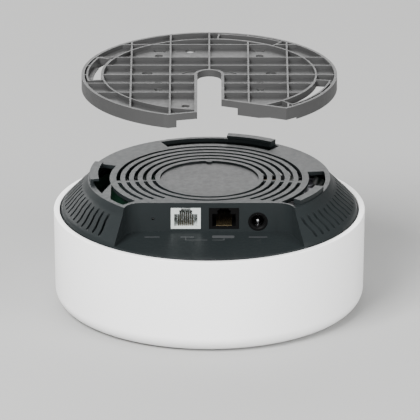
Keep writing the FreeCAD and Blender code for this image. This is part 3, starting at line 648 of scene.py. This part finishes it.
class WIFI_OT_inside(bpy.types.Operator):
    """Main board, chips, shields, heat sink, antennas and fasteners inside the drum"""
    bl_idname = "wifi.inside"
    bl_label = "Inside parts"

    def execute(self, context):
        steel = bpy.data.materials["bright_steel"]
        finishes = {
            "board_green": solder_mask(),
            "chip_epoxy": moulded("chip_epoxy", (0.018, 0.018, 0.020), 0.55),
            "thermal_pad_grey": moulded("thermal_pad", (0.30, 0.33, 0.36), 0.7, grain=1800.0),
            "sink_aluminium": metal("sink_aluminium", (0.70, 0.71, 0.73), 0.34,
                                    brushed=(1, 0.05, 1)),
            "shield_tin": metal("shield_tin", (0.66, 0.66, 0.65), 0.30),
            "ferrite": moulded("ferrite", (0.045, 0.045, 0.048), 0.5, grain=2600.0),
            "winding_tape": moulded("winding_tape", (0.16, 0.10, 0.02), 0.45, grain=1500.0),
            "capacitor_can": metal("capacitor_can", (0.22, 0.22, 0.24), 0.45),
            "clear_guide": clear_plastic(),
            "led_body": moulded("led_body", (0.75, 0.72, 0.55), 0.3),
            "steel_bright": steel,
            "jack_black": bpy.data.materials["black_moulding"],
        }
        for part in frame["record"]["subparts"]:
            node = frame["nodes"][part["node"]]
            if not node.hide_render:
                paint(node, finishes[part["material_slot"]])
        return {"FINISHED"}


# ---------------------------------------------------------------- floor, light and camera
def soft_light(name, place, aim, width, height, power):
    way = Vector(aim) - Vector(place)
    bpy.ops.object.light_add(type="AREA", location=place,
                             rotation=way.to_track_quat("-Z", "Y").to_euler())
    lamp = bpy.context.object
    lamp.name = name
    lamp.data.shape = "RECTANGLE"
    lamp.data.size = width
    lamp.data.size_y = height
    lamp.data.energy = power
    lamp.visible_camera = False


class WIFI_OT_stage(bpy.types.Operator):
    """Plain pale floor, soft studio light and the camera"""
    bl_idname = "wifi.stage"
    bl_label = "Stage"

    def execute(self, context):
        deselect()
        bpy.ops.mesh.primitive_plane_add(size=14, location=(0, 0, CAD_BOX[0][2]))
        floor = name_piece("studio_floor")
        material, nodes, links, surface = new_material("pale_floor")
        drift = object_noise(nodes, links, 1.5)
        tone = context.scene.node_colours.floor
        links.new(tint(nodes, links, drift.outputs["Fac"], shade(tone, 0.99), shade(tone, 1.01)),
                  surface.inputs["Base Color"])
        surface.inputs["Roughness"].default_value = 0.9
        surface.inputs["Specular IOR Level"].default_value = 0.1
        paint(floor, material)

        world = bpy.data.worlds.new("studio")
        world.use_nodes = True
        world.node_tree.nodes["Background"].inputs["Color"].default_value = (1, 1, 1, 1)
        world.node_tree.nodes["Background"].inputs["Strength"].default_value = 0.55
        context.scene.world = world

        middle = (0, 0, RIM_Z)
        soft_light("key_left", (-1.1, -1.35, 1.9), middle, 1.2, 1.2, 160)
        soft_light("fill_right", (1.5, -1.2, 0.9), middle, 1.2, 1.0, 45)
        soft_light("front_fill", (-0.2, -2.2, 0.7), middle, 1.6, 0.9, 36)
        soft_light("back_panel", (-0.5, 1.9, 0.85), (0, 0, 0.1), 2.6, 1.0, 46)

        tilt = math.radians(20.37)
        distance = 4.0
        shift_right, shift_down = 0.36 * MM, 1.18 * MM
        right = Vector((1, 0, 0))
        forward = Vector((0, math.cos(tilt), -math.sin(tilt)))
        up = right.cross(forward)
        place = Vector(middle) - forward * distance + right * shift_right - up * shift_down
        bpy.ops.object.camera_add(location=place, rotation=(math.pi / 2 - tilt, 0, 0))
        camera = context.object
        camera.name = "camera"
        camera.data.sensor_width = 36
        camera.data.lens = 666.1
        camera.data.clip_end = 60
        context.scene.camera = camera
        return {"FINISHED"}


class WIFI_PT_panel(bpy.types.Panel):
    """Sizes, colours and pieces of the wifi node"""
    bl_idname = "WIFI_PT_panel"
    bl_label = "Wifi node"
    bl_space_type = "VIEW_3D"
    bl_region_type = "UI"
    bl_category = "Wifi node"

    def draw(self, context):
        layout = self.layout
        for group in (context.scene.node_sizes, context.scene.node_colours):
            box = layout.box()
            for key in group.bl_rna.properties.keys():
                if key not in ("rna_type", "name"):
                    box.prop(group, key)
        for operator in PIECES:
            layout.operator(operator.bl_idname)


PIECES = (WIFI_OT_stage, WIFI_OT_shell, WIFI_OT_chassis, WIFI_OT_plate, WIFI_OT_jacks,
          WIFI_OT_power, WIFI_OT_marks, WIFI_OT_inside)
CLASSES = (NodeSizes, NodeColours, *PIECES, WIFI_PT_panel)


def register():
    for each in CLASSES:
        bpy.utils.register_class(each)
    bpy.types.Scene.node_sizes = PointerProperty(type=NodeSizes)
    bpy.types.Scene.node_colours = PointerProperty(type=NodeColours)


def unregister():
    del bpy.types.Scene.node_colours
    del bpy.types.Scene.node_sizes
    for each in reversed(CLASSES):
        bpy.utils.unregister_class(each)


def main():
    register()
    bpy.ops.wifi.stage()
    bpy.ops.wifi.shell()
    bpy.ops.wifi.chassis()
    bpy.ops.wifi.plate()
    bpy.ops.wifi.jacks()
    bpy.ops.wifi.power()
    bpy.ops.wifi.marks()
    bpy.ops.wifi.inside()
    bpy.context.view_layer.update()


if __name__ == "__main__":
    main()
